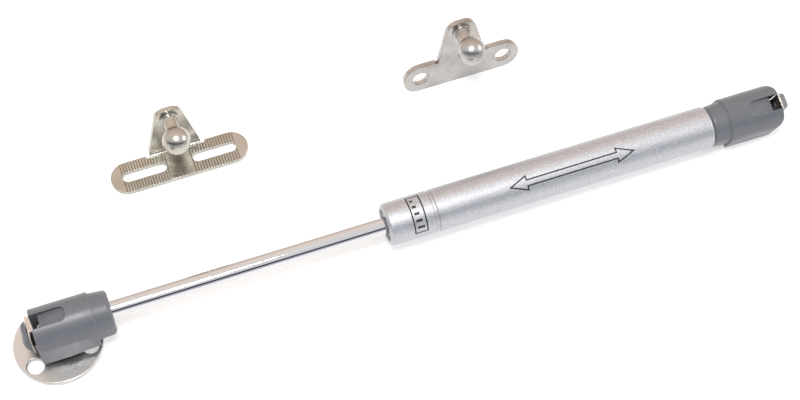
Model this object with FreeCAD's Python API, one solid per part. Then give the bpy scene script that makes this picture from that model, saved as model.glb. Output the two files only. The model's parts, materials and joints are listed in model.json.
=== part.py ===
"""Gas strut stay for a cabinet flap: strut with a ball socket at each end, a round plate with a ball stud
under the rod end, and the two other ball-stud brackets of the set laid beside it.  Millimetres, +Z up.
"""
import FreeCAD, Part
from math import cos, sin, tan, asin, sqrt, radians, pi
import os

Vector = FreeCAD.Vector

# ---- driving dimensions: strut --------------------------------------------------------------------
BALL_SPACING = 256.0        # ball centre to ball centre with the rod fully out
STROKE = 88.0
ROD_R = 3.0
TUBE_R = 7.5
TUBE_WALL = 1.0
TUBE_START = 115.5          # distance from the rod-end ball centre to the tube's mouth
RUNNING = 0.05              # radial clearance of every sliding or turning fit
ROD_START = 6.6             # the rod's threaded end, from the rod-end ball centre
ROD_THREAD_END = 17.0
ROD_THREAD_R = 2.5
ROD_SEAT = TUBE_START + 18.6        # shoulder that the piston pack is riveted against
ROD_SPIGOT_R = 2.0
ROD_SPIGOT_L = 6.0
RIVET_T = 0.9
PISTON_R = 6.3
PISTON_GROOVE_R = 5.0
MOUTH_R = 5.6               # opening of the tube's rolled-in mouth
MOUTH_T = 1.1
END_R = 5.9                 # opening of the tube's far end, rolled over its plug
END_T = 0.9
GROOVE_X = TUBE_START + 17.0        # rolled groove that holds the seal pack
GROOVE_HALF = 0.55
GROOVE_DEEP = 0.28
PLUG_T = 6.6
PLUG_GROOVE_L = 2.0
PLUG_GROOVE_DEEP = 1.2
PLUG_STUD_R = 2.5
PLUG_STUD_L = 9.0

# ---- driving dimensions: ball joints --------------------------------------------------------------
BALL_R = 5.0
SOCKET_GAP = 0.15           # ball to socket wall
PLATE_STUD_REACH = 10.75    # ball centre above the round plate's face
BRACKET_STUD_REACH = 9.8    # ball centre from the face of a bracket's lug
STUD_SHANK_R = 2.6
STUD_COLLAR_R = 3.3
STUD_COLLAR_T = 1.0
STUD_TAIL_R = 2.0
BALL_FLAT = 0.25            # turned flat on the ball's crown
RIVET_HEAD_R = 2.8
RIVET_HEAD_T = 0.8
PLATE_T = 1.8

# ---- driving dimensions: end fittings -------------------------------------------------------------
BODY_R = 8.05               # half-round back of the moulded socket
BODY_OUTER = 6.3            # ball centre to the outer end
BODY_INNER = 13.5           # ball centre to the shoulder
BODY_DEPTH_OUTER = 8.3      # axis to the flat socket face, at the outer end
BODY_DEPTH_INNER = 6.7      # the same, at the shoulder
BODY_LEVEL = 3.0            # the socket face is level from the outer end to this far past the ball centre
BODY_EDGE_R = 0.4
ROD_END_CORNERS = (1.0, 2.6)        # outer end's two corners, seen from above
TUBE_END_CORNERS = (3.8, 2.4)
NECK_END = 19.8
NECK_R_BIG = 7.5
NECK_R_SMALL = 6.9
SLOT_W = 5.6
SLOT_INNER = 5.3            # ball centre to the closed end of the access slot
SLOT_END_R = 2.2
CLIP_W = 5.6
CLIP_T = 0.6
CLIP_BOW = 0.4              # how far the middle of the clip's strip bows outwards
CLIP_BOTTOM = -8.0
ROD_END_CLIP_X = 7.5        # ball centre to the clip's standing strip
ROD_END_CLIP_TOP = 7.6
ROD_END_PAD_TOP = 4.4
ROD_END_PAD_T = 2.2
TUBE_END_CLIP_X = 6.8       # with no ball in the socket the clip lies closer
TUBE_END_CLIP_TOP = 7.2
TUBE_END_PAD_TOP = 6.2
TUBE_END_PAD_T = 2.8
TONGUE_Z = -3.5             # top of the clip's tongue, which holds the ball from below
TONGUE_TIP = -3.75
TONGUE_W = 5.4
PAD_W = 5.2
PAD_BOTTOM = -8.2
PAD_BOSS_R = 1.05
PAD_BOSS_Z = 0.6
PAD_EDGE_R = 0.9
TUBE_END_ROLL = 20.0        # the tube-end fitting lies rolled by this much about the strut's axis

# ---- driving dimensions: plates -------------------------------------------------------------------
ROUND_PLATE_R = 15.0
ROUND_HOLE_PCD_R = 11.0
ROUND_HOLE_R = 2.9
ROUND_HOLE_FIRST = -146.0   # degrees from the strut's direction

SLOTTED_LENGTH = 50.0
SLOTTED_WIDTH = 12.4
SLOT_START = 4.7            # slotted plate: centre to the near end of each slot
SLOT_LENGTH = 16.2
SLOT_OPENING = 4.2
RIB_PITCH = 1.0
RIB_DEPTH = 0.26
RIB_FIRST = 4.6
RIB_LAST = 20.6
SLOTTED_LUG_TOP = 25.2      # above the surface that the plate lies on
SLOTTED_LUG_W = 18.6
SLOTTED_LUG_TIP_W = 8.6
SLOTTED_LUG_BACK = 1.6      # the lug's back stands this far behind the plate's far edge
SLOTTED_STUD_UP = 20.8
BEND_INNER_R = 0.35
SLOTTED_PLACE = Vector(57.7, 55.0, 0.0)     # plate's middle, from the rod-end ball centre

TWO_HOLE_SPACING = 32.0
TWO_HOLE_WIDTH = 12.4
TWO_HOLE_R = 3.1
TWO_HOLE_HEIGHT = 30.0
TWO_HOLE_STUD_UP = 25.6
TWO_HOLE_LUG_W = 17.5
TWO_HOLE_LUG_TIP_W = 9.6
TWO_HOLE_LEAN = 5.0         # degrees back from upright
TWO_HOLE_PLACE = Vector(165.3, 56.0, 0.0)   # foot's middle, from the rod-end ball centre
NOTCH_W = 1.4
NOTCH_D = 1.0

# ---- derived --------------------------------------------------------------------------------------
TUBE_END = BALL_SPACING - NECK_END
BORE_R = TUBE_R - TUBE_WALL
SOCKET_R = BALL_R + SOCKET_GAP
PLUG_FACE = TUBE_END - END_T
X_AXIS = Vector(1, 0, 0)
Y_AXIS = Vector(0, 1, 0)
Z_AXIS = Vector(0, 0, 1)
ORIGIN = Vector(0, 0, 0)


# ---- shape helpers --------------------------------------------------------------------------------
def rounded_wire(corners, to_point):
    """Closed wire through corners (u, v, radius); each corner with a radius becomes a tangent arc."""
    count = len(corners)
    pieces = []
    for i, (u, v, radius) in enumerate(corners):
        here = Vector(u, v, 0)
        before = Vector(corners[i - 1][0], corners[i - 1][1], 0)
        after = Vector(corners[(i + 1) % count][0], corners[(i + 1) % count][1], 0)
        if radius <= 0:
            pieces.append((here, None, here))
            continue
        back = (before - here).normalize()
        ahead = (after - here).normalize()
        half = back.getAngle(ahead) / 2
        reach = radius / tan(half)
        middle = here + (back + ahead).normalize() * (radius / sin(half) - radius)
        pieces.append((here + back * reach, middle, here + ahead * reach))
    edges = []
    for i, (start, middle, end) in enumerate(pieces):
        previous_end = pieces[i - 1][2]
        if previous_end.distanceToPoint(start) > 1e-5:
            edges.append(Part.makeLine(to_point(previous_end), to_point(start)))
        if middle is not None:
            edges.append(Part.Arc(to_point(start), to_point(middle), to_point(end)).toShape())
    return Part.Wire(edges)


def turned(profile):
    """Solid turned about the X axis from corners (x, r, radius)."""
    wire = rounded_wire(profile, lambda p: Vector(p.x, 0, p.y))
    return Part.Face(wire).revolve(ORIGIN, X_AXIS, 360)


def turned_z(profile):
    """Solid turned about the Z axis from corners (r, z, radius)."""
    wire = rounded_wire(profile, lambda p: Vector(p.x, 0, p.y))
    return Part.Face(wire).revolve(ORIGIN, Z_AXIS, 360)


def flat_plate(corners, thickness):
    """Plate in the XY plane, from z = 0 up."""
    wire = rounded_wire(corners, lambda p: Vector(p.x, p.y, 0))
    return Part.Face(wire).extrude(Vector(0, 0, thickness))


def box(x0, x1, y0, y1, z0, z1):
    return Part.makeBox(x1 - x0, y1 - y0, z1 - z0, Vector(x0, y0, z0))


def along_x(radius, x0, x1):
    return Part.makeCylinder(radius, x1 - x0, Vector(x0, 0, 0), X_AXIS)


def mirrored_outline(half):
    """Closed outline from its right half, listed from the bottom up, mirrored about u = 0."""
    return half + [(-u, v, radius) for u, v, radius in reversed(half)]


# ---- end fittings: modelled about the ball centre, neck towards +X, socket mouth down ---------------
def d_section(radius, depth, corner):
    """Half-round back over straight sides and a flat socket face, as (y, z, radius) corners."""
    return [(radius, -depth, corner), (radius, radius, radius * 0.999),
            (-radius, radius, radius * 0.999), (-radius, -depth, corner)]


def section_wire(x, radius, depth, corner):
    return rounded_wire(d_section(radius, depth, corner), lambda p: Vector(x, p.x, p.y))


def socket_body(bore_profile, corners):
    """Moulded ball socket: body, tapered neck, ball pocket, access slot and the bore for its stem."""
    near_corner, far_corner = corners
    body = Part.Face(section_wire(-BODY_OUTER, BODY_R, BODY_DEPTH_OUTER, BODY_EDGE_R)).extrude(
        Vector(BODY_OUTER + BODY_INNER, 0, 0))
    slope = Part.Face(Part.makePolygon([
        Vector(-BODY_OUTER - 1, -20, -BODY_DEPTH_OUTER - 5), Vector(BODY_INNER + 1, -20, -BODY_DEPTH_OUTER - 5),
        Vector(BODY_INNER + 1, -20, -BODY_DEPTH_INNER + 0.05), Vector(-BODY_LEVEL, -20, -BODY_DEPTH_OUTER),
        Vector(-BODY_OUTER - 1, -20, -BODY_DEPTH_OUTER),
        Vector(-BODY_OUTER - 1, -20, -BODY_DEPTH_OUTER - 5)])).extrude(Vector(0, 40, 0))
    body = body.cut(slope)
    plan = flat_plate([(-BODY_OUTER, -BODY_R - 0.01, near_corner), (BODY_INNER + 1, -BODY_R - 0.01, 0),
                       (BODY_INNER + 1, BODY_R + 0.01, 0), (-BODY_OUTER, BODY_R + 0.01, far_corner)], 40)
    plan.translate(Vector(0, 0, -20))
    body = body.common(plan)

    neck = Part.makeLoft([section_wire(BODY_INNER - 0.5, NECK_R_BIG, NECK_R_BIG - 0.9, 3.4),
                          section_wire(NECK_END - 1.4, NECK_R_SMALL + 0.1, NECK_R_SMALL, 3.4)], True)
    tip = Part.makeLoft([section_wire(NECK_END - 1.4, NECK_R_SMALL + 0.1, NECK_R_SMALL, 3.4),
                         section_wire(NECK_END - 0.4, NECK_R_SMALL - 0.35, NECK_R_SMALL - 0.45, 3.2),
                         section_wire(NECK_END, NECK_R_SMALL - 1.3, NECK_R_SMALL - 1.4, 2.6)], True)
    body = body.fuse([neck, tip]).removeSplitter()

    pocket = Part.makeSphere(SOCKET_R)
    mouth = Part.makeCylinder(SOCKET_R, 20, Vector(0, 0, -20))
    lead_in = Part.makeCone(SOCKET_R + 1.4, SOCKET_R, 1.4, Vector(0, 0, -BODY_DEPTH_OUTER - 0.4))
    body = body.cut(pocket.fuse([mouth, lead_in]))

    slot_outline = [(-BODY_OUTER - 2, -SLOT_W / 2, 0), (SLOT_INNER, -SLOT_W / 2, SLOT_END_R),
                    (SLOT_INNER, SLOT_W / 2, SLOT_END_R), (-BODY_OUTER - 2, SLOT_W / 2, 0)]
    slot = flat_plate(slot_outline, 6)
    ramp = Part.Face(Part.makePolygon([
        Vector(-BODY_OUTER - 3, -10, 5.2), Vector(-2.6, -10, 5.2), Vector(SLOT_INNER + 1, -10, 6.7),
        Vector(SLOT_INNER + 1, -10, 12), Vector(-BODY_OUTER - 3, -10, 12),
        Vector(-BODY_OUTER - 3, -10, 5.2)])).extrude(Vector(0, 20, 0))
    slot.translate(Vector(0, 0, 4.5))
    body = body.cut(slot.common(ramp))
    window = box(-BODY_OUTER - 1, TONGUE_TIP + 0.2, -SLOT_W / 2, SLOT_W / 2, TONGUE_Z - CLIP_T - 0.1, 10)
    body = body.cut(window)
    return body.cut(turned(bore_profile))


def clip(clip_x, top):
    """Spring-steel retaining clip: bowed standing strip and a tongue under the ball."""
    half = CLIP_T / 2
    spine = [(-clip_x - 0.1, CLIP_BOTTOM), (-clip_x - CLIP_BOW, 0.0), (-clip_x + 0.2, top)]
    inner = [Vector(x + half, -CLIP_W / 2, z) for x, z in spine]
    outer = [Vector(x - half, -CLIP_W / 2, z) for x, z in spine]
    outline = Part.Wire([Part.Arc(inner[0], inner[1], inner[2]).toShape(), Part.makeLine(inner[2], outer[2]),
                         Part.Arc(outer[2], outer[1], outer[0]).toShape(), Part.makeLine(outer[0], inner[0])])
    strip = Part.Face(outline).extrude(Vector(0, CLIP_W, 0))
    tongue = box(-clip_x - 0.2, TONGUE_TIP, -TONGUE_W / 2, TONGUE_W / 2, TONGUE_Z - CLIP_T, TONGUE_Z)
    window = Part.makeCylinder(PAD_BOSS_R + RUNNING, 4, Vector(-clip_x - 2, 0, PAD_BOSS_Z), X_AXIS)
    return strip.fuse(tongue).cut(window).removeSplitter()


def clip_pad(clip_x, top, thickness):
    """Moulded thumb pad on the clip, with the boss that holds it in the strip's window."""
    inner_x = -clip_x - CLIP_BOW - CLIP_T / 2 - 0.02
    low_x = -clip_x - 0.55 - CLIP_T / 2
    side = -PAD_W / 2
    inner_top = Vector(inner_x, side, top)
    inner_low = Vector(low_x, side, PAD_BOTTOM)
    outer_low = Vector(low_x - 0.55, side, PAD_BOTTOM + 0.1)
    outer_mid = Vector(inner_x - thickness, side, (top + PAD_BOTTOM) / 2)
    outer_top = Vector(inner_x - thickness * 0.6, side, top - 0.5)
    outline = Part.Wire([Part.makeLine(inner_top, inner_low), Part.makeLine(inner_low, outer_low),
                         Part.Arc(outer_low, outer_mid, outer_top).toShape(),
                         Part.makeLine(outer_top, inner_top)])
    pad = Part.Face(outline).extrude(Vector(0, PAD_W, 0))
    boss = along_x(PAD_BOSS_R, inner_x - 0.5, -clip_x + 0.1)
    boss.translate(Vector(0, 0, PAD_BOSS_Z))
    pad = pad.fuse(boss).removeSplitter()
    side_edges = [edge for edge in pad.Edges if edge.Length > 8 and
                  abs(abs(edge.CenterOfMass.y) - PAD_W / 2) < 0.01 and edge.CenterOfMass.x < inner_x - 0.3]
    return pad.makeFillet(PAD_EDGE_R, side_edges)


# ---- strut: modelled along +X from the rod-end ball centre ------------------------------------------
def rod_bore():
    return [(ROD_START - 0.01, 0, 0), (NECK_END + 1, 0, 0), (NECK_END + 1, ROD_R, 0), (ROD_THREAD_END, ROD_R, 0),
            (ROD_THREAD_END, ROD_THREAD_R, 0), (ROD_START - 0.01, ROD_THREAD_R, 0)]


def plug_bore():
    depth = NECK_END - PLUG_STUD_L
    return [(depth, 0, 0), (NECK_END + 1, 0, 0), (NECK_END + 1, PLUG_STUD_R, 0), (depth, PLUG_STUD_R, 0)]


def piston_rod():
    pack_end = ROD_SEAT + ROD_SPIGOT_L
    return turned([(ROD_START, 0, 0), (pack_end, 0, 0), (pack_end, ROD_SPIGOT_R, 0), (ROD_SEAT, ROD_SPIGOT_R, 0),
                   (ROD_SEAT, ROD_R, 0), (ROD_THREAD_END, ROD_R, 0.3), (ROD_THREAD_END, ROD_THREAD_R, 0),
                   (ROD_START + 0.5, ROD_THREAD_R, 0), (ROD_START, ROD_THREAD_R - 0.5, 0)])


def ring(x0, x1, inner, outer, corner=0.0):
    return turned([(x0, inner, 0), (x1, inner, 0), (x1, outer, corner), (x0, outer, corner)])


def piston_pack():
    """The pack that is riveted on the rod's spigot, in order from the shoulder."""
    bore = ROD_SPIGOT_R + RUNNING
    x = ROD_SEAT + RUNNING
    front_washer = ring(x, x + 0.9, bore, 5.6, 0.2)
    piston_start = x + 0.9
    piston = turned([(piston_start, bore, 0), (piston_start + 3.6, bore, 0), (piston_start + 3.6, PISTON_R, 0.3),
                     (piston_start + 2.8, PISTON_R, 0), (piston_start + 2.8, PISTON_GROOVE_R, 0),
                     (piston_start + 0.9, PISTON_GROOVE_R, 0),
                     (piston_start + 0.9, PISTON_R, 0), (piston_start, PISTON_R, 0.3)])
    for k in range(3):
        angle = 2 * pi * k / 3
        port = along_x(0.4, piston_start - 1, piston_start + 5)
        port.translate(Vector(0, 3.6 * cos(angle), 3.6 * sin(angle)))
        piston = piston.cut(port)
    piston_ring = ring(piston_start + 0.95, piston_start + 2.75, PISTON_GROOVE_R, BORE_R - RUNNING, 0.3)
    rear_washer = ring(piston_start + 3.6, piston_start + 4.2, bore, 4.6, 0.15)
    rivet_start = piston_start + 4.2
    rivet_ring = turned([(rivet_start, bore, 0), (rivet_start + RIVET_T, bore, 0),
                         (rivet_start + RIVET_T, 3.4, 0.3), (rivet_start, 3.6, 0)])
    return {"piston_front_washer": front_washer, "piston": piston, "piston_ring": piston_ring,
            "piston_rear_washer": rear_washer, "piston_lock_ring": rivet_ring}


def cylinder_tube():
    """Tube with a rolled-in mouth, a rolled groove that holds the seal pack, and an end rolled over its plug."""
    bead = 0.35
    return turned([
        (TUBE_START, MOUTH_R, 0.35), (TUBE_START, TUBE_R, 1.5),
        (GROOVE_X - GROOVE_HALF - 0.2, TUBE_R, 0), (GROOVE_X - GROOVE_HALF, TUBE_R - GROOVE_DEEP, 0),
        (GROOVE_X + GROOVE_HALF, TUBE_R - GROOVE_DEEP, 0), (GROOVE_X + GROOVE_HALF + 0.2, TUBE_R, 0),
        (TUBE_END, TUBE_R, 1.2), (TUBE_END, END_R, 0.3), (PLUG_FACE, END_R, 0), (PLUG_FACE, BORE_R, 0),
        (GROOVE_X + 0.9, BORE_R, 0), (GROOVE_X + 0.3, BORE_R - bead, 0), (GROOVE_X - 0.3, BORE_R - bead, 0),
        (GROOVE_X - 0.9, BORE_R, 0), (TUBE_START + MOUTH_T, BORE_R, 0), (TUBE_START + MOUTH_T, MOUTH_R, 0)])


def seal_pack():
    """Guide, seal and back-up parts between the rolled mouth and the rolled groove."""
    start = TUBE_START + MOUTH_T
    bore = ROD_R + RUNNING
    guide = turned([(start, 3.9, 0), (start, bore, 0), (start + 6.4, bore, 0), (start + 6.4, BORE_R, 0.3),
                    (start + 4.4, BORE_R, 0), (start + 4.4, BORE_R - 0.9, 0), (start + 3.0, BORE_R - 0.9, 0),
                    (start + 3.0, BORE_R, 0), (start, BORE_R, 0)])
    guide_ring = ring(start + 3.05, start + 4.35, BORE_R - 0.9, BORE_R, 0.4)
    lip_seal = turned([(start + 6.4, bore, 0), (start + 11.0, bore, 0), (start + 11.0, bore + 0.7, 0.2),
                       (start + 8.2, bore + 1.1, 0), (start + 11.0, BORE_R - 0.7, 0), (start + 11.0, BORE_R, 0.2),
                       (start + 6.4, BORE_R, 0)])
    washer = ring(start + 11.0, start + 12.2, bore + 0.2, BORE_R, 0.2)
    spacer = ring(start + 12.2, GROOVE_X - 0.92, bore + 0.6, BORE_R, 0.3)
    return {"rod_guide": guide, "guide_static_ring": guide_ring, "rod_lip_seal": lip_seal,
            "seal_washer": washer, "seal_spacer": spacer}


def plug_groove_start():
    return PLUG_FACE - 3.9


def end_plug():
    """Steel plug that closes the tube; its stud carries the tube-end fitting."""
    groove = plug_groove_start()
    groove_r = BORE_R - PLUG_GROOVE_DEEP
    stud_end = TUBE_END + PLUG_STUD_L
    return turned([(PLUG_FACE - PLUG_T, 0, 0), (stud_end, 0, 0), (stud_end, PLUG_STUD_R - 0.5, 0),
                   (stud_end - 0.5, PLUG_STUD_R, 0), (TUBE_END, PLUG_STUD_R, 0), (TUBE_END, END_R, 0),
                   (PLUG_FACE, END_R, 0), (PLUG_FACE, BORE_R, 0), (groove + PLUG_GROOVE_L, BORE_R, 0),
                   (groove + PLUG_GROOVE_L, groove_r, 0), (groove, groove_r, 0), (groove, BORE_R, 0),
                   (PLUG_FACE - PLUG_T, BORE_R, 0.6)])


def plug_ring():
    start = plug_groove_start()
    return ring(start + 0.05, start + PLUG_GROOVE_L - 0.05, BORE_R - PLUG_GROOVE_DEEP, BORE_R, 0.7)


# ---- ball studs and plates --------------------------------------------------------------------------
def ball_stud(reach, clearance):
    """Ball stud standing on z = 0, its ball reach above it, its riveted tail going down through a plate."""
    shank = turned_z([(0, -PLATE_T, 0), (RIVET_HEAD_R - clearance, -PLATE_T, 0),
                      (STUD_TAIL_R, -PLATE_T + RIVET_HEAD_T + clearance, 0), (STUD_TAIL_R, clearance, 0),
                      (STUD_COLLAR_R, clearance, 0.15), (STUD_COLLAR_R, STUD_COLLAR_T, 0.3),
                      (STUD_SHANK_R + 0.15, STUD_COLLAR_T, 0), (STUD_SHANK_R, STUD_COLLAR_T + 1.0, 0),
                      (STUD_SHANK_R, reach, 0), (0, reach, 0)])
    ball = Part.makeSphere(BALL_R, Vector(0, 0, reach))
    flat = reach + BALL_R - BALL_FLAT
    ball = ball.cut(box(-BALL_R, BALL_R, -BALL_R, BALL_R, flat, flat + 1))
    return shank.fuse(ball).removeSplitter()


def stud_hole(clearance):
    """Hole for the stud's tail, countersunk on the plate's back, for a plate from z = -PLATE_T to 0."""
    return turned_z([(0, -PLATE_T - 0.01, 0), (RIVET_HEAD_R, -PLATE_T - 0.01, 0), (RIVET_HEAD_R, -PLATE_T, 0),
                     (STUD_TAIL_R + clearance, -PLATE_T + RIVET_HEAD_T, 0), (STUD_TAIL_R + clearance, 1, 0),
                     (0, 1, 0)])


def round_plate():
    plate = turned_z([(0, -PLATE_T, 0), (ROUND_PLATE_R, -PLATE_T, 0.15), (ROUND_PLATE_R, 0, 0.3), (0, 0, 0)])
    for k in range(3):
        angle = radians(ROUND_HOLE_FIRST + 120 * k)
        centre = Vector(ROUND_HOLE_PCD_R * cos(angle), ROUND_HOLE_PCD_R * sin(angle), 0)
        hole = turned_z([(0, -PLATE_T - 1, 0), (ROUND_HOLE_R, -PLATE_T - 1, 0), (ROUND_HOLE_R, -0.25, 0),
                         (ROUND_HOLE_R + 0.35, 0.1, 0), (0, 0.1, 0)])
        hole.translate(centre)
        plate = plate.cut(hole)
    return plate.cut(stud_hole(RUNNING))


def slotted_plate():
    """Slotted base with serrated rails, and a lug bent up along its far edge."""
    half_l = SLOTTED_LENGTH / 2
    half_w = SLOTTED_WIDTH / 2
    end_r = half_w * 0.999
    far = half_w
    base = flat_plate([(half_l, -half_w, end_r), (half_l, far, end_r),
                       (SLOTTED_LUG_W / 2 + NOTCH_W, far, 0.5), (SLOTTED_LUG_W / 2 + NOTCH_W, far - NOTCH_D, 0.3),
                       (SLOTTED_LUG_W / 2, far - NOTCH_D, 0), (-SLOTTED_LUG_W / 2, far - NOTCH_D, 0),
                       (-SLOTTED_LUG_W / 2 - NOTCH_W, far - NOTCH_D, 0.3), (-SLOTTED_LUG_W / 2 - NOTCH_W, far, 0.5),
                       (-half_l, far, end_r), (-half_l, -half_w, end_r)], PLATE_T)
    slot_r = SLOT_OPENING / 2 * 0.999
    for side in (-1, 1):
        start = side * SLOT_START
        end = side * (SLOT_START + SLOT_LENGTH)
        low, high = min(start, end), max(start, end)
        slot = flat_plate([(low, -SLOT_OPENING / 2, slot_r), (high, -SLOT_OPENING / 2, slot_r),
                           (high, SLOT_OPENING / 2, slot_r), (low, SLOT_OPENING / 2, slot_r)], 4)
        slot.translate(Vector(0, 0, -1))
        base = base.cut(slot)
        count = int(round((RIB_LAST - RIB_FIRST) / RIB_PITCH))
        grooves = []
        for k in range(count + 1):
            x = side * (RIB_FIRST + k * RIB_PITCH)
            groove = Part.Face(Part.makePolygon([
                Vector(x - 0.26, -10, PLATE_T + 0.01), Vector(x, -10, PLATE_T - RIB_DEPTH),
                Vector(x + 0.26, -10, PLATE_T + 0.01), Vector(x - 0.26, -10, PLATE_T + 0.01)]))
            reach = 20 if abs(x) > SLOTTED_LUG_W / 2 else 10 + far - NOTCH_D - 0.4
            grooves.append(groove.extrude(Vector(0, reach, 0)))
        base = base.cut(grooves)

    outer = BEND_INNER_R + PLATE_T
    back = far + SLOTTED_LUG_BACK
    centre_y = back - outer
    centre_z = outer
    s = sqrt(0.5)
    bend_profile = Part.Wire([
        Part.makeLine(Vector(0, centre_y, 0), Vector(0, centre_y, PLATE_T)),
        Part.Arc(Vector(0, centre_y, PLATE_T), Vector(0, centre_y + BEND_INNER_R * s, centre_z - BEND_INNER_R * s),
                 Vector(0, centre_y + BEND_INNER_R, centre_z)).toShape(),
        Part.makeLine(Vector(0, centre_y + BEND_INNER_R, centre_z), Vector(0, back, centre_z)),
        Part.Arc(Vector(0, back, centre_z), Vector(0, centre_y + outer * s, centre_z - outer * s),
                 Vector(0, centre_y, 0)).toShape()])
    bend = Part.Face(bend_profile).extrude(Vector(SLOTTED_LUG_W, 0, 0))
    bend.translate(Vector(-SLOTTED_LUG_W / 2, 0, 0))

    tip_r = SLOTTED_LUG_TIP_W / 2 * 0.97
    lug = flat_plate(mirrored_outline([(SLOTTED_LUG_W / 2, centre_z, 0), (SLOTTED_LUG_W / 2, centre_z + 0.8, 0),
                                       (SLOTTED_LUG_TIP_W / 2, SLOTTED_LUG_TOP, tip_r)]), PLATE_T)
    lug.rotate(ORIGIN, X_AXIS, 90)
    lug.translate(Vector(0, back, 0))
    foot = box(-SLOTTED_LUG_W / 2, SLOTTED_LUG_W / 2, far - NOTCH_D - 0.2, centre_y, 0, PLATE_T)
    plate = base.fuse([foot, bend, lug]).removeSplitter()
    hole = stud_hole(0)
    hole.rotate(ORIGIN, X_AXIS, 90)
    hole.translate(Vector(0, back - PLATE_T, SLOTTED_STUD_UP))
    return plate.cut(hole)


def slotted_stud():
    stud = ball_stud(BRACKET_STUD_REACH, 0)
    stud.rotate(ORIGIN, X_AXIS, 90)
    stud.translate(Vector(0, SLOTTED_WIDTH / 2 + SLOTTED_LUG_BACK - PLATE_T, SLOTTED_STUD_UP))
    return stud


def two_hole_plate():
    """Flat plate in the XY plane, front face at z = 0, long straight edge at y = 0."""
    half = TWO_HOLE_SPACING / 2 + TWO_HOLE_WIDTH / 2
    end_r = TWO_HOLE_WIDTH / 2 * 0.999
    base = TWO_HOLE_LUG_W / 2
    tip_r = TWO_HOLE_LUG_TIP_W / 2 * 0.97
    lug = [(base + NOTCH_W, TWO_HOLE_WIDTH, 0.2), (base + 0.4, TWO_HOLE_WIDTH - NOTCH_D, 0.2),
           (base, TWO_HOLE_WIDTH + 0.6, 0), (TWO_HOLE_LUG_TIP_W / 2, TWO_HOLE_HEIGHT, tip_r)]
    plate = flat_plate(mirrored_outline([(half, 0, end_r), (half, TWO_HOLE_WIDTH, end_r)] + lug), PLATE_T)
    plate.translate(Vector(0, 0, -PLATE_T))
    for side in (-1, 1):
        plate = plate.cut(Part.makeCylinder(TWO_HOLE_R, 10, two_hole_centre(side) - Vector(0, 0, 5)))
    hole = stud_hole(0)
    hole.translate(Vector(0, TWO_HOLE_STUD_UP, 0))
    return plate.cut(hole)


def two_hole_centre(side):
    return Vector(side * TWO_HOLE_SPACING / 2, TWO_HOLE_WIDTH / 2, 0)


def two_hole_stud():
    stud = ball_stud(BRACKET_STUD_REACH, 0)
    stud.translate(Vector(0, TWO_HOLE_STUD_UP, 0))
    return stud


# ---- assembly ---------------------------------------------------------------------------------------
def strut_heights():
    """Axis height at the rod-end ball, and the strut's small fall to where the tube-end fitting rests."""
    rod_height = PLATE_T + PLATE_STUD_REACH
    roll = radians(TUBE_END_ROLL)
    edge = BODY_EDGE_R
    rest_height = (BODY_R - edge) * sin(roll) + (BODY_DEPTH_OUTER - edge) * cos(roll) + edge
    return rod_height, asin((rod_height - rest_height) / (BALL_SPACING + BODY_LEVEL))


def place_strut(shape):
    """From strut coordinates to the set's frame: lifted on to the plate and let down at the tube end."""
    height, fall = strut_heights()
    shape.rotate(ORIGIN, Y_AXIS, fall * 180 / pi)
    shape.translate(Vector(0, 0, height))
    return shape


def turned_round_end(shape):
    """A fitting modelled for the rod end, turned round for the tube end and rolled about the strut's axis."""
    shape.rotate(ORIGIN, Z_AXIS, 180)
    shape.rotate(ORIGIN, X_AXIS, TUBE_END_ROLL)
    shape.translate(Vector(BALL_SPACING, 0, 0))
    return shape


def place_slotted(shape):
    shape.translate(SLOTTED_PLACE)
    return shape


def place_two_hole(shape):
    shape.rotate(ORIGIN, X_AXIS, 90 - TWO_HOLE_LEAN)
    shape.translate(TWO_HOLE_PLACE + Vector(0, 0, PLATE_T * sin(radians(TWO_HOLE_LEAN))))
    return shape


def build_nodes():
    nodes = {}
    far_pad = clip_pad(TUBE_END_CLIP_X, TUBE_END_PAD_TOP, TUBE_END_PAD_T)
    strut = {"piston_rod": piston_rod(),
             "rod_end_socket": socket_body(rod_bore(), ROD_END_CORNERS),
             "rod_end_clip": clip(ROD_END_CLIP_X, ROD_END_CLIP_TOP),
             "rod_end_clip_pad": clip_pad(ROD_END_CLIP_X, ROD_END_PAD_TOP, ROD_END_PAD_T),
             "cylinder_tube": cylinder_tube(),
             "end_plug": end_plug(),
             "end_plug_ring": plug_ring(),
             "tube_end_socket": turned_round_end(socket_body(plug_bore(), TUBE_END_CORNERS)),
             "tube_end_clip": turned_round_end(clip(TUBE_END_CLIP_X, TUBE_END_CLIP_TOP)),
             "tube_end_clip_pad": turned_round_end(far_pad)}
    strut.update(piston_pack())
    strut.update(seal_pack())
    for name, shape in strut.items():
        nodes[name] = place_strut(shape)

    lifted = Vector(0, 0, PLATE_T)
    plate = round_plate()
    plate.translate(lifted)
    stud = ball_stud(PLATE_STUD_REACH, RUNNING)
    stud.translate(lifted)
    nodes["round_plate"] = plate
    nodes["rod_end_ball_stud"] = stud
    nodes["slotted_bracket_plate"] = place_slotted(slotted_plate())
    nodes["slotted_bracket_ball_stud"] = place_slotted(slotted_stud())
    nodes["two_hole_bracket_plate"] = place_two_hole(two_hole_plate())
    nodes["two_hole_bracket_ball_stud"] = place_two_hole(two_hole_stud())
    return nodes


def origin_shift(nodes):
    """Moves the set so that its origin is the bottom centre of its bounding box."""
    total = Part.makeCompound(list(nodes.values())).optimalBoundingBox(False, False)
    return Vector(-total.Center.x, -total.Center.y, -total.ZMin)


nodes = build_nodes()
shift = origin_shift(nodes)
os.makedirs("parts", exist_ok=True)
for name, shape in nodes.items():
    shape.translate(shift)
    shape.exportStep("parts/" + name + ".step")
    print(name, "valid" if shape.isValid() else "INVALID", len(shape.Solids), round(shape.Volume, 1))
print("shift", [round(value, 4) for value in shift])
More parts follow.
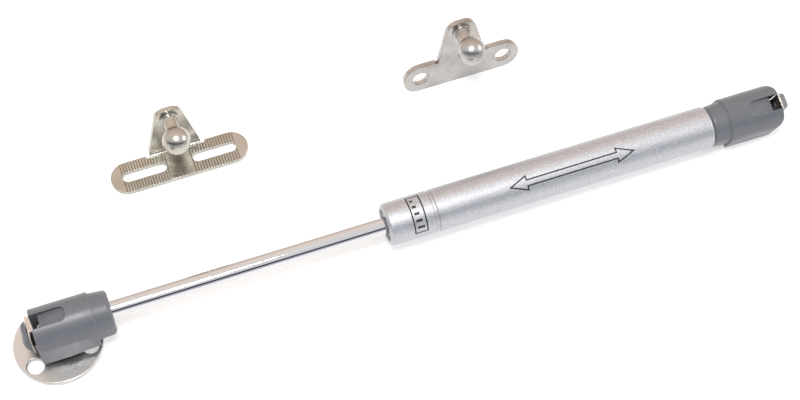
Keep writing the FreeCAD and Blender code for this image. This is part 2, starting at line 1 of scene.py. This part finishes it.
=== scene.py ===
"""Looks of the gas strut stay: strut, round plate, and the two loose ball-stud brackets beside it."""
import json
import math
import bmesh
import bpy
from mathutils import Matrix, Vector


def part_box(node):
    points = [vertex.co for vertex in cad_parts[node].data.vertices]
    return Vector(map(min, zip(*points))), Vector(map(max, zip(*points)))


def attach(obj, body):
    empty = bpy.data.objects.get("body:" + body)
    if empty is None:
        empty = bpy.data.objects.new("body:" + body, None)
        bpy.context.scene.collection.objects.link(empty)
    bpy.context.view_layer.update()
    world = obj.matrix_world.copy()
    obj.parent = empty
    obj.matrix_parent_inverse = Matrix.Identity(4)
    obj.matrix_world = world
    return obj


MM = 0.001

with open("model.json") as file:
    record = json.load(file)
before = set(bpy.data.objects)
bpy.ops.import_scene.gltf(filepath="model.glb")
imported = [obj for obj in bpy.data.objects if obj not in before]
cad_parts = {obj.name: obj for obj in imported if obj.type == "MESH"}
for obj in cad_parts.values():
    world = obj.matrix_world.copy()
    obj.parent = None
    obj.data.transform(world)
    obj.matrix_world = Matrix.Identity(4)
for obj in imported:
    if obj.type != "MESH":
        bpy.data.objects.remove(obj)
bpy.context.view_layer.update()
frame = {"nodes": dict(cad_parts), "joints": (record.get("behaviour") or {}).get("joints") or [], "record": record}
nodes = frame["nodes"]
joints = {joint["name"]: joint for joint in frame["joints"]}

# ---- places read from the frame -------------------------------------------------------------------
strut_axis = -Vector(joints["stroke"]["axis"]).normalized()
ball_centre = Vector(joints["ball_tilt"]["pos_m"])
strut_side = Vector((0, -1, 0))
strut_up = strut_side.cross(strut_axis).normalized()
tube_low, tube_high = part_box("cylinder_tube")
tube_radius = (tube_high.y - tube_low.y) / 2
tube_start = (tube_low.x - ball_centre.x) / strut_axis.x

# ---- camera ---------------------------------------------------------------------------------------
CAMERA_ELEVATION = 58.75        # degrees above the floor
CAMERA_TURN = 19.88             # degrees that the view is turned from looking along +Y towards +X
CAMERA_DISTANCE = 0.588
AIM_FROM_BALL = Vector((0.1262, 0.0144, 0.0))   # point on the floor that the camera looks at
CAMERA_LENS = 75.3


def make_camera():
    elevation = math.radians(CAMERA_ELEVATION)
    turn = math.radians(CAMERA_TURN)
    ahead = Vector((math.sin(turn) * math.cos(elevation), math.cos(turn) * math.cos(elevation),
                    -math.sin(elevation)))
    data = bpy.data.cameras.new("camera")
    data.lens = CAMERA_LENS
    data.clip_start = 0.01
    camera = bpy.data.objects.new("camera", data)
    camera.location = ball_centre.xy.to_3d() + AIM_FROM_BALL - ahead * CAMERA_DISTANCE
    camera.rotation_euler = ahead.to_track_quat("-Z", "Y").to_euler()
    bpy.context.scene.collection.objects.link(camera)
    bpy.context.scene.camera = camera


# ---- materials ------------------------------------------------------------------------------------
class Finish:
    """A node material in the making: one shader, its texture coordinates and short ways to add nodes."""

    def __init__(self, name, color, metallic, roughness):
        self.material = bpy.data.materials.new(name)
        self.material.use_nodes = True
        self.tree = self.material.node_tree
        self.shader = self.tree.nodes["Principled BSDF"]
        self.shader.inputs["Base Color"].default_value = (*color, 1)
        self.shader.inputs["Metallic"].default_value = metallic
        self.shader.inputs["Roughness"].default_value = roughness
        self.color = color
        self.base = None
        self.coordinates = self.tree.nodes.new("ShaderNodeTexCoord").outputs["Object"]

    def node(self, kind, **values):
        made = self.tree.nodes.new(kind)
        for name, value in values.items():
            setattr(made, name, value)
        return made

    def link(self, output, socket):
        self.tree.links.new(output, socket)

    def stretched(self, scale):
        mapping = self.node("ShaderNodeMapping")
        mapping.inputs["Scale"].default_value = scale
        self.link(self.coordinates, mapping.inputs["Vector"])
        return mapping.outputs["Vector"]

    def noise(self, scale, detail=2.0, vector=None):
        made = self.node("ShaderNodeTexNoise")
        made.inputs["Scale"].default_value = scale
        made.inputs["Detail"].default_value = detail
        self.link(vector or self.coordinates, made.inputs["Vector"])
        return made.outputs["Fac"]

    def cells(self, scale):
        made = self.node("ShaderNodeTexVoronoi")
        made.inputs["Scale"].default_value = scale
        self.link(self.coordinates, made.inputs["Vector"])
        return made.outputs["Color"]

    def range(self, value, low, high, to_low, to_high):
        made = self.node("ShaderNodeMapRange")
        made.inputs["From Min"].default_value = low
        made.inputs["From Max"].default_value = high
        made.inputs["To Min"].default_value = to_low
        made.inputs["To Max"].default_value = to_high
        self.link(value, made.inputs["Value"])
        return made.outputs["Result"]

    def tint(self, amount, color):
        """Mixes the base colour so far towards color by amount."""
        mix = self.node("ShaderNodeMix", data_type="RGBA")
        base_in, tint_in, color_out = mix.inputs[6], mix.inputs[7], mix.outputs[2]
        base_in.default_value = (*self.color, 1)
        if self.base is not None:
            self.link(self.base, base_in)
        tint_in.default_value = (*color, 1)
        self.link(amount, mix.inputs["Factor"])
        self.base = color_out
        self.link(color_out, self.shader.inputs["Base Color"])

    def roughness(self, value):
        self.link(value, self.shader.inputs["Roughness"])

    def edges(self, width):
        """About 1 on convex and concave edges narrower than width, 0 on open faces."""
        rounded = self.node("ShaderNodeBevel", samples=6)
        rounded.inputs["Radius"].default_value = width
        geometry = self.node("ShaderNodeNewGeometry")
        dot = self.node("ShaderNodeVectorMath", operation="DOT_PRODUCT")
        self.link(rounded.outputs["Normal"], dot.inputs[0])
        self.link(geometry.outputs["Normal"], dot.inputs[1])
        return self.range(dot.outputs["Value"], 0.995, 0.80, 0.0, 1.0)

    def hollow_shade(self, reach):
        """Mask for painted shade: about 1 deep inside gaps and pockets narrower than reach, 0 in the open."""
        occlusion = self.node("ShaderNodeAmbientOcclusion", samples=8)
        occlusion.inputs["Distance"].default_value = reach
        return self.range(occlusion.outputs["AO"], 0.85, 0.50, 0.0, 1.0)

    def relief(self, heights, edge_width=0.0):
        """Bumps from (height output, strength, distance) on top of each other, over softened edges."""
        normal = None
        if edge_width:
            rounded = self.node("ShaderNodeBevel", samples=6)
            rounded.inputs["Radius"].default_value = edge_width
            normal = rounded.outputs["Normal"]
        for height, strength, distance in heights:
            bump = self.node("ShaderNodeBump")
            bump.inputs["Strength"].default_value = strength
            bump.inputs["Distance"].default_value = distance
            self.link(height, bump.inputs["Height"])
            if normal is not None:
                self.link(normal, bump.inputs["Normal"])
            normal = bump.outputs["Normal"]
        self.link(normal, self.shader.inputs["Normal"])


def silver_paint():
    """Metallic paint: flakes that tilt a little each, under a soft clear coat, with painted shade along edges and
    creases.
    """
    finish = Finish("silver_paint", (0.44, 0.45, 0.475), 0.85, 0.42)
    grain = finish.noise(2200, 2.0)
    flakes = finish.cells(3400)
    finish.tint(finish.range(grain, 0.38, 0.72, 0.0, 0.8), (0.64, 0.65, 0.68))
    finish.tint(finish.range(finish.noise(2600, 1.0), 0.56, 0.74, 0.0, 0.6), (0.28, 0.285, 0.31))
    # painted shade: near-black base colour along edges and in creases
    finish.tint(finish.edges(0.00030), (0.10, 0.10, 0.11))
    finish.roughness(finish.range(grain, 0.3, 0.7, 0.38, 0.54))
    finish.relief([(flakes, 0.40, 0.00006), (grain, 0.30, 0.00006)])
    finish.shader.inputs["Coat Weight"].default_value = 0.15
    finish.shader.inputs["Coat Roughness"].default_value = 0.22
    return finish.material


def chrome():
    """Hard chrome with faint lines left by grinding round the rod."""
    finish = Finish("rod_chrome", (0.66, 0.66, 0.67), 1.0, 0.05)
    lines = finish.noise(1.0, 3.0, finish.stretched((9000, 300, 300)))
    haze = finish.noise(90, 3.0)
    finish.roughness(finish.range(haze, 0.3, 0.8, 0.03, 0.09))
    finish.tint(finish.range(haze, 0.5, 0.8, 0.0, 0.2), (0.58, 0.575, 0.575))
    finish.relief([(lines, 0.04, 0.00001)])
    return finish.material


def moulded_grey():
    """Satin moulded plastic with a fine spark-eroded grain, lighter along its edges: partly handling wear, partly
    painted highlight.
    """
    finish = Finish("moulded_grey", (0.118, 0.124, 0.140), 0.0, 0.36)
    grain = finish.noise(4200, 3.0)
    flow = finish.noise(160, 4.0)
    finish.tint(finish.range(flow, 0.35, 0.75, 0.0, 0.35), (0.145, 0.150, 0.166))
    finish.tint(finish.range(grain, 0.5, 0.8, 0.0, 0.4), (0.085, 0.088, 0.10))
    # lighter base colour along edges and creases: partly handling wear, partly painted highlight
    finish.tint(finish.edges(0.00030), (0.27, 0.275, 0.30))
    finish.roughness(finish.range(flow, 0.3, 0.7, 0.30, 0.42))
    finish.relief([(grain, 0.35, 0.00006), (flow, 0.12, 0.00025)], 0.00035)
    return finish.material


def nickel(name, color, warm, rough_low, rough_high, wave, rim_width, rim_shade_share):
    """Nickel plate over stamped steel: tumbled, wavy, warm where it is thin, with painted shade along its rims and
    creases.
    """
    finish = Finish(name, color, 1.0, rough_low)
    cast = finish.noise(120, 5.0)
    tumble = finish.noise(380, 2.0)
    fine = finish.noise(3200, 2.0)
    finish.tint(finish.range(cast, 0.42, 0.70, 0.0, 0.8), warm)
    finish.tint(finish.range(fine, 0.55, 0.75, 0.0, 0.45), tuple(0.5 * value for value in color))
    # painted shade: darker base colour along rims and in creases
    finish.tint(finish.edges(rim_width), tuple(rim_shade_share * value for value in warm))
    finish.roughness(finish.range(cast, 0.3, 0.7, rough_low, rough_high))
    finish.relief([(tumble, wave, 0.00012), (fine, 0.12, 0.00003)], 0.00025)
    return finish.material


def spring_steel():
    """Bright strip with rolling lines across it, with painted shade that darkens it deep inside gaps."""
    finish = Finish("spring_steel", (0.66, 0.62, 0.56), 1.0, 0.24)
    lines = finish.noise(1.0, 3.0, finish.stretched((300, 9000, 300)))
    finish.roughness(finish.range(lines, 0.3, 0.7, 0.18, 0.36))
    finish.tint(finish.range(finish.noise(300, 3.0), 0.45, 0.8, 0.0, 0.6), (0.42, 0.38, 0.32))
    # painted shade: the base colour goes near black deep inside gaps and pockets, where shade falls
    finish.tint(finish.hollow_shade(0.006), (0.02, 0.02, 0.02))
    finish.relief([(lines, 0.08, 0.00001)], 0.0002)
    return finish.material


def turned_steel():
    """Machined steel with rings left by the tool and a film of oil."""
    finish = Finish("turned_steel", (0.46, 0.46, 0.47), 1.0, 0.26)
    rings = finish.noise(1.0, 2.0, finish.stretched((7000, 120, 120)))
    finish.roughness(finish.range(rings, 0.3, 0.7, 0.20, 0.40))
    finish.tint(finish.range(finish.noise(240, 3.0), 0.5, 0.8, 0.0, 0.4), (0.30, 0.28, 0.25))
    finish.relief([(rings, 0.25, 0.00004)], 0.0001)
    return finish.material


def plain_moulding(name, color, speck, roughness):
    """Matt inner parts: acetal, filled PTFE or rubber, with a speckle of their filler."""
    finish = Finish(name, color, 0.0, roughness)
    grain = finish.noise(3800, 3.0)
    finish.tint(finish.range(grain, 0.45, 0.75, 0.0, 0.6), speck)
    finish.roughness(finish.range(finish.noise(500, 2.0), 0.3, 0.7, roughness - 0.06, roughness + 0.08))
    finish.relief([(grain, 0.25, 0.00005)], 0.0001)
    return finish.material


def print_ink():
    """Black pad-printing ink, thin enough for the paint's grain to show in its gloss."""
    finish = Finish("print_ink", (0.012, 0.012, 0.014), 0.0, 0.42)
    grain = finish.noise(2600, 2.0)
    finish.tint(finish.range(grain, 0.55, 0.8, 0.0, 0.5), (0.05, 0.05, 0.055))
    finish.roughness(finish.range(grain, 0.3, 0.7, 0.34, 0.52))
    finish.relief([(grain, 0.2, 0.00003)])
    return finish.material


def paint_nodes():
    # the rim values set the width and darkness of the painted shade along each plate's rims
    bright = nickel("nickel", color=(0.50, 0.485, 0.44), warm=(0.40, 0.37, 0.31),
                    rough_low=0.16, rough_high=0.34, wave=0.30, rim_width=0.00018, rim_shade_share=0.60)
    grey = nickel("nickel_brushed", color=(0.48, 0.462, 0.445), warm=(0.35, 0.325, 0.30),
                  rough_low=0.20, rough_high=0.38, wave=0.35, rim_width=0.00040, rim_shade_share=0.25)
    satin = nickel("nickel_satin", color=(0.62, 0.61, 0.60), warm=(0.52, 0.49, 0.46),
                   rough_low=0.26, rough_high=0.38, wave=0.50, rim_width=0.00040, rim_shade_share=0.40)
    by_slot = {
        "silver_paint": silver_paint(),
        "rod_chrome": chrome(),
        "moulded_grey": moulded_grey(),
        "nickel": bright,
        "spring_steel": spring_steel(),
        "turned_steel": turned_steel(),
        "guide_plastic": plain_moulding("guide_plastic", (0.72, 0.70, 0.64), (0.60, 0.58, 0.52), 0.50),
        "seal_rubber": plain_moulding("seal_rubber", (0.02, 0.02, 0.021), (0.045, 0.045, 0.045), 0.58),
        "ring_ptfe": plain_moulding("ring_ptfe", (0.16, 0.11, 0.06), (0.28, 0.19, 0.10), 0.45)}
    slot_of = {part["node"]: part["material_slot"] for part in frame["record"]["subparts"]}
    for name, node in nodes.items():
        material = by_slot[slot_of[name]]
        if name.startswith("two_hole"):
            material = grey
        if name == "round_plate":
            material = satin
        node.data.materials.clear()
        node.data.materials.append(material)


# ---- printing on the tube -------------------------------------------------------------------------
INK_OVER = 0.02 * MM            # how far the ink stands proud of the paint
INK_UNDER = 0.05 * MM           # how far its hidden side lies under the paint
LINE = 0.50 * MM
STEP = 0.4 * MM                 # longest straight edge round the tube


def tube_point(along, round_, radius):
    """Point on the tube: along from the rod-end ball, round_ as arc length from the top towards the front."""
    angle = round_ / tube_radius
    outwards = strut_up * math.cos(angle) + strut_side * math.sin(angle)
    return ball_centre + strut_axis * along + outwards * radius


def ink_strip(mesh, corners):
    """Adds a closed slab of ink over the four-cornered patch corners, given as (along, round_)."""
    a, b, c, d = [Vector(corner) for corner in corners]
    count = max(1, math.ceil(max((b - a).length, (c - d).length) / STEP))
    rows = []
    for k in range(count + 1):
        low, high = a.lerp(b, k / count), d.lerp(c, k / count)
        rows.append([mesh.verts.new(tube_point(p.x, p.y, tube_radius + over))
                     for p in (low, high) for over in (INK_OVER, -INK_UNDER)])
    for now, after in zip(rows, rows[1:]):
        mesh.faces.new((now[0], after[0], after[2], now[2]))
        mesh.faces.new((now[1], now[3], after[3], after[1]))
        mesh.faces.new((now[0], now[1], after[1], after[0]))
        mesh.faces.new((now[2], after[2], after[3], now[3]))
    for end in (rows[0], rows[-1]):
        mesh.faces.new((end[0], end[2], end[3], end[1]))


def ink_outline(mesh, corners, width):
    """Band of ink of this width just inside the outline corners, listed anticlockwise."""
    inner = []
    for i, here in enumerate(corners):
        here = Vector(here)
        back = (here - Vector(corners[i - 1])).normalized()
        ahead = (Vector(corners[(i + 1) % len(corners)]) - here).normalized()
        inward = Vector((-back.y, back.x)) + Vector((-ahead.y, ahead.x))
        inner.append(here + inward * (width / (1 + back.dot(ahead))))
    for i, here in enumerate(corners):
        j = (i + 1) % len(corners)
        ink_strip(mesh, (here, corners[j], inner[j], inner[i]))


def finish_print(name, mesh):
    bmesh.ops.recalc_face_normals(mesh, faces=mesh.faces)
    data = bpy.data.meshes.new(name)
    mesh.to_mesh(data)
    mesh.free()
    piece = bpy.data.objects.new(name, data)
    bpy.context.scene.collection.objects.link(piece)
    data.materials.append(ink)
    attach(piece, "cylinder")


def double_arrow():
    """Outlined double-ended arrow along the tube: the way the strut moves."""
    middle_along = tube_start + 67 * MM
    middle_round = math.radians(32) * tube_radius
    half_length = 23.5 * MM
    head_length = 7.0 * MM
    half_height = 2.9 * MM
    half_shaft = 1.3 * MM
    shaft = half_length - head_length
    head = [(shaft, -half_height), (half_length, 0), (shaft, half_height)]
    outline = [(-shaft, -half_shaft), (shaft, -half_shaft)] + head
    outline += [(shaft, half_shaft), (-shaft, half_shaft)] + [(-u, v) for u, v in reversed(head)]
    corners = [(middle_along + u, middle_round + v) for u, v in outline]
    mesh = bmesh.new()
    ink_outline(mesh, corners, LINE)
    finish_print("arrow_print", mesh)


def rating_box():
    """Outlined box round the tube behind its mouth, with plain bars in place of figures."""
    near = tube_start + 8.4 * MM
    far = near + 4.9 * MM
    top = math.radians(-33) * tube_radius
    front = math.radians(81) * tube_radius
    mesh = bmesh.new()
    ink_outline(mesh, [(near, top), (far, top), (far, front), (near, front)], LINE)
    bars = 5
    bar_half = 0.45 * MM
    shortest = 1.0 * MM
    growth = 0.42 * MM
    low = near + 1.1 * MM
    pitch = (front - top) / (bars + 1)
    for k in range(bars):
        middle = top + (k + 1) * pitch
        high = low + shortest + growth * k
        ink_strip(mesh, ((low, middle - bar_half), (low, middle + bar_half),
                         (high, middle + bar_half), (high, middle - bar_half)))
    finish_print("rating_print", mesh)


# ---- floor and lights -----------------------------------------------------------------------------
FLOOR_HALF = 3.0
FLOOR_GLOW = 0.45               # the floor's own light, which keeps the shadows faint
WORLD_START = (0.62, 0.65, 0.74, 1)             # level, on the camera's side
WORLD_END = (0.50, 0.41, 0.35, 1)               # level, on the far side
# Share of the way over the top to the far side, and the light there.
WORLD_STOPS = [(0.10, (0.60, 0.63, 0.72, 1)), (0.125, (0.03, 0.03, 0.04, 1)), (0.20, (0.03, 0.03, 0.04, 1)),
               (0.25, (0.92, 0.93, 0.97, 1)), (0.55, (0.96, 0.95, 0.93, 1)), (0.63, (1.18, 0.99, 0.88, 1)),
               (0.85, (1.02, 0.85, 0.74, 1))]


def make_floor():
    mesh = bmesh.new()
    bmesh.ops.create_grid(mesh, x_segments=1, y_segments=1, size=FLOOR_HALF)
    data = bpy.data.meshes.new("floor")
    mesh.to_mesh(data)
    mesh.free()
    floor = bpy.data.objects.new("floor", data)
    bpy.context.scene.collection.objects.link(floor)
    finish = Finish("floor", (0.64, 0.64, 0.64), 0.0, 0.65)
    finish.tint(finish.noise(4, 2.0), (0.62, 0.62, 0.625))
    finish.shader.inputs["Emission Color"].default_value = (1, 1, 1, 1)
    finish.shader.inputs["Emission Strength"].default_value = FLOOR_GLOW
    data.materials.append(finish.material)


def softbox(name, place, width, height, power, color):
    """Rectangular light at place, turned towards the middle of the set."""
    light = bpy.data.lights.new(name, "AREA")
    light.shape = "RECTANGLE"
    light.size = width
    light.size_y = height
    light.energy = power
    light.color = color
    made = bpy.data.objects.new(name, light)
    made.location = place
    made.rotation_euler = (-Vector(place)).to_track_quat("-Z", "Y").to_euler()
    bpy.context.scene.collection.objects.link(made)


def studio_world():
    """White studio seen from the camera's side: a dark gap low in front, white overhead, warm behind."""
    world = bpy.data.worlds.new("studio")
    world.use_nodes = True
    tree = world.node_tree
    turn = math.radians(CAMERA_TURN)
    coordinates = tree.nodes.new("ShaderNodeTexCoord").outputs["Generated"]
    towards_front = tree.nodes.new("ShaderNodeVectorMath")
    towards_front.operation = "DOT_PRODUCT"
    towards_front.inputs[1].default_value = (-math.sin(turn), -math.cos(turn), 0)
    upwards = tree.nodes.new("ShaderNodeSeparateXYZ")
    angle = tree.nodes.new("ShaderNodeMath")
    angle.operation = "ARCTAN2"
    share = tree.nodes.new("ShaderNodeMath")
    share.operation = "DIVIDE"
    share.inputs[1].default_value = math.pi
    ramp = tree.nodes.new("ShaderNodeValToRGB")
    tree.links.new(coordinates, towards_front.inputs[0])
    tree.links.new(coordinates, upwards.inputs["Vector"])
    tree.links.new(upwards.outputs["Z"], angle.inputs[0])
    tree.links.new(towards_front.outputs["Value"], angle.inputs[1])
    tree.links.new(angle.outputs["Value"], share.inputs[0])
    tree.links.new(share.outputs["Value"], ramp.inputs["Fac"])
    stops = ramp.color_ramp.elements
    stops[0].color = WORLD_START
    stops[1].color = WORLD_END
    for place, color in WORLD_STOPS:
        stops.new(place).color = color
    tree.links.new(ramp.outputs["Color"], tree.nodes["Background"].inputs["Color"])
    tree.nodes["Background"].inputs["Strength"].default_value = 1.0
    bpy.context.scene.world = world


def make_light():
    studio_world()
    softbox("key", place=(-0.10, -0.20, 0.80), width=0.24, height=0.18, power=4.0, color=(1, 1, 1))
    softbox("side", place=(0.9, -0.2, 0.45), width=0.5, height=0.3, power=2.0, color=(0.9, 0.95, 1.0))
    bpy.context.scene.view_settings.view_transform = "Standard"


ink = print_ink()
paint_nodes()
double_arrow()
rating_box()
make_floor()
make_light()
make_camera()
